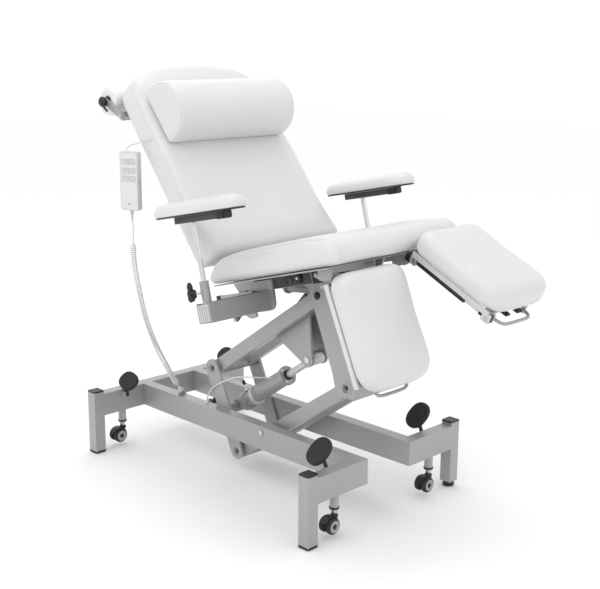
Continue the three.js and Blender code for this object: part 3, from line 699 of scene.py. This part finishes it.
def build_casters():
    for end_name, end in (("front", 1), ("rear", -1)):
        for side_name, s in SIDE.items():
            n = "%s_%s_caster" % (end_name, side_name)
            at = BASE @ Matrix.Translation(mm(end * POST_X, s * CASTER_Y, 0))
            for w in (-1, 1):
                tread = [(0, 0), (0, 19), (1, 23), (3.5, 25), (12.5, 25), (15, 23), (16, 20), (16, 0)]
                ob = spun("%s_tread_%d" % (n, w), tread, (w * 6, -20, 41), (w * 22, -20, 41), "rubber", at,
                          n + "_wheels", 48)
                if w == 1:
                    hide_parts(n + "_wheels")
                ring = [(0, 0), (0, 17), (1.2, 18.5), (1.8, 18.5), (1.8, 12), (0.8, 11.5), (0.8, 0)]
                spun("%s_ring_%d" % (n, w), ring, (w * 21.6, -20, 41), (w * 24, -20, 41), "ring", at,
                     n + "_wheels", 48)
                hub = [(0, 0), (0, 8), (1.5, 8), (2.6, 6.5), (2.8, 0)]
                spun("%s_hub_%d" % (n, w), hub, (w * 21.8, -20, 41), (w * 25, -20, 41), "black", at,
                     n + "_wheels", 32)
            pin(n + "_axle", (-8, -20, 41), (8, -20, 41), 5, "steel", at, n + "_wheels")
            # Hood: a part-round shell between the wheels and over them
            arc = [(-20 + 28.5 * math.cos(t), 41 + 28.5 * math.sin(t))
                   for t in [math.radians(20 + 9.5 * k) for k in range(15)]]
            inner = [(-20 + 26.3 * math.cos(t), 41 + 26.3 * math.sin(t))
                     for t in [math.radians(20 + 9.5 * k) for k in range(15)]]
            turn = Matrix.Rotation(math.radians(90), 4, "Z")
            hood = plate(n + "_hood", arc + inner[::-1], (-13, 13), "black", at @ turn, n + "_fork",
                         bevel=0.8)
            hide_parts(n + "_fork")
            web = [(-20 + 26.6 * math.cos(t), 41 + 26.6 * math.sin(t))
                   for t in [math.radians(10 + 9 * k) for k in range(18)]] + [(-34, 34), (-20, 30),
                       (-6, 33)]
            plate(n + "_web", web, (-4, 4), "black", at @ turn, n + "_fork", bevel=0.8)
            boss = [(0, 0), (0, 12), (7, 12), (11, 9), (12, 0)]
            spun(n + "_boss", boss, (0, 0, 61), (0, 0, 73), "black", at, n + "_fork", 32)
            stem = [(0, 0), (0, 8.6), (4, 9.8), (56, 9.8), (56, 0)]
            ob = spun(n + "_stem", stem, (0, 0, 73.4), (0, 0, 130), "steel", at, n + "_plunger", 40)
            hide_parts(n + "_plunger")
            collar = [(0, 11), (0, 15), (3, 15.5), (6, 15.5), (6, 11), (0, 11)]
            spun(n + "_collar", collar, (0, 0, 87), (0, 0, 93), "black", at, "base", 32)
            # Pedal: an oval pad with a raised rim and a dimple, on its bent lever
            joint = pivot(n + "_pedal_press") * 1000
            base = BASE.translation * 1000
            px, pz = joint.x - base.x, joint.z
            face = BASE @ Matrix.Translation(mm(px - end * 26, s * 228, pz + 56))
            wide, tall, pitch = (34, 46, 52) if end > 0 else (39, 34, 44)
            face = face @ Matrix.Rotation(math.radians(18), 4, "Y") @ Matrix.Rotation(math.radians(pitch),
                4, "X")
            bm = bmesh.new()
            rings = []
            layers = [(-8, 0.3), (-8, 0.86), (-6, 0.96), (-1, 1.0), (4, 0.97), (7.4, 0.88), (8.4, 0.78),
                      (7.2, 0.7),
                      (6.2, 0.6), (6.2, 0.42), (7.2, 0.36), (7.2, 0.22), (5.6, 0.16)]
            for h, k in layers:
                ring = []
                for j in range(56):
                    t = 2 * math.pi * j / 56
                    c, d = math.cos(t), math.sin(t)
                    ring.append(bm.verts.new((wide * k * math.copysign(abs(c) ** 0.85, c),
                                              tall * k * math.copysign(abs(d) ** 0.85, d), h)))
                rings.append(ring)
            for a, b in zip(rings, rings[1:]):
                for j in range(56):
                    bm.faces.new((a[j], a[(j + 1) % 56], b[(j + 1) % 56], b[j]))
            bm.faces.new(rings[0])
            bm.faces.new(rings[-1])
            ob = finish_mesh(n + "_pedal_pad", bm, "rubber", face, n + "_pedal", 50)
            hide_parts(n + "_pedal")
            arm = [(px, s * 220, pz), (px - end * 4, s * 220, pz + 16), (px - end * 16, s * 222, pz + 32),
                   (px - end * 22, s * 226, pz + 48)]
            tube(n + "_pedal_arm", arm, 6.2, "black", BASE, n + "_pedal", True, 4)
            pin(n + "_pedal_hub", (px, s * 220 - 6, pz), (px, s * 220 + 6, pz), 9, "black", BASE,
                n + "_pedal")


build_casters()


# ---- Base details ----

def smooth_cad(node, mat, width=1.2):
    """A CAD piece as it is, with softened edges and a better finish."""
    ob = frame["nodes"][node]
    for s in ob.material_slots:
        s.material = MAT[mat]
    weld = ob.modifiers.new("weld", "WELD")
    weld.merge_threshold = 0.00002
    flat = ob.modifiers.new("flat", "DECIMATE")
    flat.decimate_type = "DISSOLVE"
    flat.angle_limit = math.radians(1)
    b = ob.modifiers.new("bevel", "BEVEL")
    b.width = width / 1000
    b.segments = 2
    b.limit_method = "ANGLE"
    b.angle_limit = math.radians(38)
    b.use_clamp_overlap = True
    b.harden_normals = True
    return ob


for node, mat in (
    ("right_side_frame", "paint"), ("left_side_frame", "paint"), ("rear_frame", "paint"),
    ("upper_lift_arm", "paint"), ("lower_lift_arm", "paint"), ("column", "paint"), ("seat_frame", "paint"),
    ("back_frame", "paint"), ("lift_drive", "paint"), ("tilt_drive", "paint"), ("back_drive", "paint"),
    # the armrest bars take the painted-shade steel: near-black for the shade under the arm pads
    ("right_armrest_clamp", "paint"), ("left_armrest_clamp", "paint"), ("right_armrest_bar", "painted_shade"),
    ("left_armrest_bar", "painted_shade"), ("right_leg_hanger", "paint"), ("left_leg_hanger", "paint"),
    ("right_leg_frame", "alloy"), ("left_leg_frame", "alloy"), ("lift_drive_rod", "alloy"),
    ("tilt_drive_rod", "chrome"), ("back_drive_rod", "chrome"), ("levelling_foot", "black"),
):
    smooth_cad(node, mat, 0.8 if "drive" in node or "leg" in node or "clamp" in node else 1.4)


def build_base():
    for end in (1, -1):
        for side_name, s in SIDE.items():
            x, y = end * POST_X, s * POST_Y
            tag = "%d_%s" % (end, side_name)
            cap = rounded([(x - 20.6, y - 20.6), (x + 20.6, y - 20.6), (x + 20.6, y + 20.6),
                           (x - 20.6, y + 20.6)],
                          [4] * 4)
            plate("post_cap_" + tag, cap, (221, 227.5), "black", BASE, "base", swap="XY", bevel=1.6)
            if (end, s) != (1, 1):
                plate("post_shoe_" + tag, offset_ring(cap, -0.2), (0, 8), "black", BASE, "base",
                      swap="XY", bevel=1)
    for s in (-1, 1):
        at = BASE @ Matrix.Translation(mm(0, s * 117, 173.5))
        spun("rail_bolt_%d" % s, [(0, 0), (0, 9), (5, 9), (6.5, 6), (6.5, 0)], (120, s * 19.6, 18),
             (120, s * 26, 18), "steel", at, "base", 24)


build_base()


# ---- Lift details ----

def build_lift():
    upper, lower = pivot("lift") * 1000, pivot("lower_arm_turn") * 1000
    column = pivot("column_turn") * 1000
    link = lower - upper
    world = Matrix.Identity(4)
    for name, p, body, y in (
        ("upper_base", upper, "base", 89), ("lower_base", lower, "base", 89),
        ("upper_column", column, "column", 94), ("lower_column", column + link, "column", 94),
    ):
        for s in (-1, 1):
            ring = [(0, 14), (0, 21), (1, 21), (1.8, 19), (1.8, 14), (0, 14)]
            spun("%s_washer_%d" % (name, s), ring, (p.x, s * y, p.z), (p.x, s * (y + 3), p.z), "paint",
                 world,
                 body, 36)
    # drive: end flange with bolts, hose elbow and its cable
    anchor = pivot("lift_drive_turn") * 1000
    slide = Vector(JOINTS["lift_drive_stroke"]["axis"])
    lean = math.degrees(math.atan2(slide.z, slide.x))
    drive = local(anchor / 1000, lean)
    sleeve = [(0, 28.2), (0, 31), (3, 33), (14, 33), (17, 31), (17, 28.2)]
    spun("drive_band", sleeve, (78, 0, 0), (95, 0, 0), "alloy", drive, "lift_drive", 40)
    for k in range(4):
        t = math.radians(45 + 90 * k)
        c = (270, 27.5 * math.cos(t), 27.5 * math.sin(t))
        hexagon("drive_bolt_%d" % k, c, (1, 0, 0), 7, 4, "steel", drive, "lift_drive")
    for k in (0, 1):
        spun("drive_wiper_%d" % k, [(0, 13.4), (0, 17 - 2 * k), (4, 16 - 2 * k), (4, 13.4)],
             (270 + 4 * k, 0, 0),
             (275 + 4 * k, 0, 0), "black", drive, "lift_drive", 36)
    pin("drive_port", (60, -10, 26), (60, -10, 46), 9, "alloy", drive, "lift_drive")
    pin("drive_port_nut", (60, -10, 40), (60, -10, 50), 11.5, "alloy", drive, "lift_drive", 2, 6)
    pin("drive_plug", (60, -10, 50), (74, -22, 60), 5.5, "black", drive, "lift_drive")
    spun("drive_bell", [(0, 30), (0, 33), (24, 33), (30, 29)], (20, 0, 0), (50, 0, 0), "paint", drive,
         "lift_drive", 40)
    # rod eye and its pin heads
    reach = drive @ mm(418.6, 0, 0)
    for s in (-1, 1):
        spun("rod_pin_%d" % s, [(0, 0), (0, 12), (3, 12), (4.5, 9), (4.5, 0)],
             (reach.x * 1000, s * 36, reach.z * 1000), (reach.x * 1000, s * 40.5,
                                                        reach.z * 1000), "steel", world,
             "upper_arm", 28)
    # cable from the rail to the drive
    cable = [(-188, -104, 214), (-186, -104, 232), (-178, -104, 250), (-156, -104, 274), (-119, -104, 297),
             (-53, -103, 333), (2, -100, 345), (34, -84, 346),
             (56, -46, 344), (60, -27, 337)]
    wire = tube("drive_cable", cable, 2.4, "cord", BASE, "base")
    spun("rail_grommet", [(0, 0), (0, 9), (4, 8), (8, 5), (8, 0)], (-188, -104, 212.5), (-188, -104, 222),
         "alloy",
         BASE, "base", 24)
    # hinge bolts on the tilt pivot
    tilt = pivot("seat_tilt") * 1000
    for s in (-1, 1):
        # painted shade: the bosses take the near-black painted-shade steel for the shadow under the seat
        spun("tilt_boss_%d" % s, [(0, 0), (0, 17), (4, 17), (6, 14), (6, 9), (3, 8), (3, 0)],
             (tilt.x, s * 139, tilt.z), (tilt.x, s * 146, tilt.z), "painted_shade", world, "seat", 36)
    top = column
    for s in (-1, 1):
        spun("column_nut_%d" % s, [(0, 0), (0, 10), (7, 10), (8, 8), (8, 0)], (top.x, s * 94, top.z),
             (top.x, s * 102, top.z), "black", world, "column", 6, 20)
    # a thin rolled edge along the column's front corners
    for s in (-1, 1):
        edge = [(372, s * 94.5, 700), (430, s * 94.5, 566), (484, s * 94.5, 440), (484, s * 94.5, 380)]
        tube("column_edge_%d" % s, edge, 1.3, "paint", BASE, "column", False, 2)


build_lift()


# ---- Seat details ----

def build_seat():
    for s in (-1, 1):
        # painted shade: a thin near-black sheet on the seat rail's outer face stands in for the shadow
        # under the seat
        rail = [(-213, -18.5), (98, -18.5), (98, 18.5), (-213, 18.5)]
        plate("rail_shade_sheet_%d" % s, rounded(rail, [3] * 4), (s * 138.6, s * 139.6), "painted_shade", SEAT, "seat",
              bevel=0.3)
        box("rail_plug_%d" % s, (100, 127), (s * 119 - 20.6, s * 119 + 20.6), (-20.6, 20.6), "black",
            SEAT, "seat", 2)
        knob = [(0, 0), (0, 15), (3, 16), (8, 15), (11, 11), (11, 0)]
        spun("rail_knob_%d" % s, knob, (48, s * 139, 3), (48, s * 150, 3), "black", SEAT, "seat", 36)
        pin("rail_knob_screw_%d" % s, (48, s * 150, 3), (48, s * 152, 3), 5, "steel", SEAT, "seat")
        # guide tube with a black end plug, behind the hinge
        y = s * 154
        box("guide_tube_%d" % s, (-312, -152), (y - 6, y + 6), (-27, -15), "paint", SEAT, "seat", 1.2)
        box("guide_plug_%d" % s, (-330, -308), (y - 6.6, y + 6.6), (-27.6, -14.4), "black", SEAT, "seat", 1)
        # curved plates beside the hinge
        ring = [math.radians(-60 - 15 * k) for k in range(15)]
        arc = [(-186 + 46 * math.cos(t), -56 + 46 * math.sin(t)) for t in ring]
        inner = [(-186 + 30 * math.cos(t), -56 + 30 * math.sin(t)) for t in ring]
        plate("curved_plate_%d" % s, arc + inner[::-1], (s * 140, s * 147), "paint", SEAT, "seat", bevel=1)
        # painted shade: the plate tails take the near-black painted-shade steel for the shadow under the
        # seat
        tail = [(-222, -52), (-218, -74), (-268, -108), (-282, -104), (-282, -92), (-270, -84)]
        plate("plate_tail_%d" % s, rounded(tail, [6] * 6), (s * 140, s * 146), "painted_shade", SEAT, "seat",
              bevel=1)
        hexagon("plate_bolt_%d" % s, (-272, s * 146, -97), (0, s, 0), 12, 6, "steel", SEAT, "seat")
        # end of the cross channel: grip block under the armrest post
        box("channel_end_%d" % s, (-146, -94), (s * 385 - 3, s * 385 + 3), (-79, -24), "alloy", SEAT,
            "seat", 1)
        for k in range(5):
            x = -140 + 10 * k
            box("channel_rib_%d_%d" % (k, s), (x, x + 4), (s * 389 - 1.5, s * 389 + 1.5), (-76, -28),
                "steel",
                SEAT, "seat", 0.5)
        hexagon("back_pivot_bolt_%d" % s, (-239, s * 147, 60), (0, s, 0), 18, 9, "steel", SEAT, "seat")
    for name, s in SIDE.items():
        x, y = -112, s * 374
        at = SEAT @ Matrix.Translation(mm(x, y, 0))
        post = pin(name + "_post", (0, 0, -60), (0, 0, 221), 8, "chrome", at, name + "_armrest_post", 1, 48)
        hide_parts(name + "_armrest_post")
        for k, z in enumerate((0, 22)):
            spun("%s_sleeve_ring_%d" % (name, k), [(0, 8.8), (0, 15.2), (3, 15.2), (3, 8.8)],
                 (0, 0, z + 20),
                 (0, 0, z + 23), "paint", at, "seat", 36)
        # three-lobed knob
        turn = at @ Matrix.Translation(mm(0, 0, 12)) @ Matrix.Rotation(s * math.radians(135), 4, "Z")
        body = name + "_armrest_knob"
        hub = [(0, 0), (0, 11), (5, 14), (20, 14), (26, 10), (27, 0)]
        knob = spun(name + "_knob_hub", hub, (28, 0, 0), (55, 0, 0), "black", turn, body)
        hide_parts(name + "_armrest_clamp_knob")
        for k in range(3):
            t = math.radians(90 + 120 * k)
            bm = bmesh.new()
            bmesh.ops.create_uvsphere(bm, u_segments=24, v_segments=16, radius=1)
            for v in bm.verts:
                v.co = Vector((v.co.x * 9, v.co.y * 11, v.co.z * 17))
            bmesh.ops.rotate(bm, verts=bm.verts, cent=(0, 0, 0),
                             matrix=Matrix.Rotation(t - math.pi / 2, 3, "X"))
            bmesh.ops.translate(bm, verts=bm.verts, vec=(44, 20 * math.cos(t), 20 * math.sin(t)))
            finish_mesh("%s_knob_lobe_%d" % (name, k), bm, "black", turn, body, 60)
        pin(name + "_knob_screw", (14.5, 0, 0), (30, 0, 0), 4, "steel", turn, body)
        # bar: black end plug and block, and the post's cup
        box(name + "_bar_plug", (158, 167), (-13, 13), (-10.4, 10.4), "black", ARM[name],
            name + "_armrest_top", 1.6)
        box(name + "_bar_block", (128, 158), (-15, 15), (-12, 10), "black", ARM[name],
            name + "_armrest_top", 1.6)
        spun(name + "_post_cup", [(0, 0), (0, 12), (7, 12), (9, 10), (9, 0)], (0, 0, 0), (0, 0, -9),
             "alloy",
             ARM[name] @ Matrix.Translation(mm(0, 0, -1)), name + "_armrest_top", 32)


build_seat()


# ---- Leg rest details ----

def build_legs():
    for name, s in SIDE.items():
        at = LEG[name] @ Matrix.Scale(s, 4, (0, 1, 0))
        hanger, rest = name + "_leg_hanger", name + "_leg_rest"
        barrel = [(0, 0), (0, 8), (3, 10), (184, 10), (189, 8), (189, 4.6)]
        ob = spun(name + "_gas_barrel", barrel, (141, 38, -23), (330, 38, -23), "black", at, hanger, 36)
        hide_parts(name + "_leg_gas_cylinder")
        rod = pin(name + "_gas_shaft", (190, 38, -23), (401, 38, -23), 4, "steel", at, rest, 0.6, 28)
        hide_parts(name + "_leg_gas_rod")
        spun(name + "_gas_end", [(0, 4.2), (0, 7), (12, 7), (14, 5), (14, 4.2)], (386, 38, -23),
             (400, 38, -23),
             "black", at, rest, 28)
        box(name + "_leg_block", (96, 118), (24, 44), (-36, -14), "black", at, hanger, 2)
        path = [(419, 53.5), (436, 54), (450, 58), (458, 70), (459, 100), (459, 150), (458, 182),
                (450, 194),
                (436, 198), (419, 198.5)]
        grip = tube(name + "_handle_wire", [(x, y, -20) for x, y in path], 5, "paint", at,
                    name + "_leg_handle")
        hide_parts(name + "_leg_handle")
        for k, (y0, y1) in enumerate(((96, 118), (150, 178))):
            box("%s_latch_%d" % (name, k), (408, 436), (y0, y1), (-17, -9.5), "black", at, rest, 3)
        box(name + "_foot_block", (409, 430), (31, 45), (-31, -9), "black", at, rest, 3)
        for k, y in enumerate((27, 49)):
            hexagon("%s_clevis_bolt_%d" % (name, k), (419, 24 if k == 0 else 52, -20),
                    (0, -1 if k == 0 else 1, 0),
                    8, 5, "steel", at, rest)
        for k, x in enumerate((150, 240, 330, 405)):
            for y in (22.5, 277.5):
                pin("%s_strip_screw_%d_%d" % (name, k, int(y)), (x, y, -11), (x, y, -12.6), 3.4, "steel",
                    at, rest,
                    0.8, 20)


build_legs()


# ---- Back details ----

def build_back():
    for s in (-1, 1):
        box("back_tube_plug_%d" % s, (-15.6, 8.6), (s * 117.5 - 12.2, s * 117.5 + 12.2), (626, 631),
            "black", BACK,
            "backrest", 1.5)
        for k, u in enumerate((60, 250, 440, 600)):
            hexagon("back_screw_%d_%d" % (k, s), (-16, s * 117.5, u), (-1, 0, 0), 9, 4, "steel", BACK,
                    "backrest")
        hexagon("roll_strap_bolt_%d" % s, (-6, s * 283, 611), (0, s, 0), 9, 4, "steel", BACK, "backrest")


build_back()


# ---- Stage ----

def build_stage():
    floor_mesh = bpy.data.meshes.new("floor")
    size = 14
    floor_mesh.from_pydata([(-size, -size, -0.0005), (size, -size, -0.0005), (size, size, -0.0005),
                            (-size, size, -0.0005)], [], [(0, 1, 2, 3)])
    floor = bpy.data.objects.new("floor", floor_mesh)
    SCENE.collection.objects.link(floor)
    pale = material("floor", (0.97, 0.97, 0.97), 0.9)
    floor_mesh.materials.append(pale)
    world = bpy.data.worlds.new("studio")
    SCENE.world = world
    world.use_nodes = True
    back = world.node_tree.nodes["Background"]
    back.inputs["Color"].default_value = (1, 1, 1, 1)
    back.inputs["Strength"].default_value = 1.02
    for name, place, energy, size in (
        ("key", (0.2, -2.8, 3.0), 17, 2.0),
        ("fill", (3.2, 1.4, 2.0), 4, 2.2),
        ("top", (-0.6, 0.2, 3.6), 17, 1.8),
        ("rear", (-3.0, 1.6, 2.4), 6, 2.0),
    ):
        data = bpy.data.lights.new(name, "AREA")
        data.energy = energy
        data.size = size
        lamp = bpy.data.objects.new(name, data)
        SCENE.collection.objects.link(lamp)
        lamp.location = place
        aim = Vector((0, 0, 0.6)) - Vector(place)
        lamp.rotation_euler = aim.to_track_quat("-Z", "Y").to_euler()


build_stage()
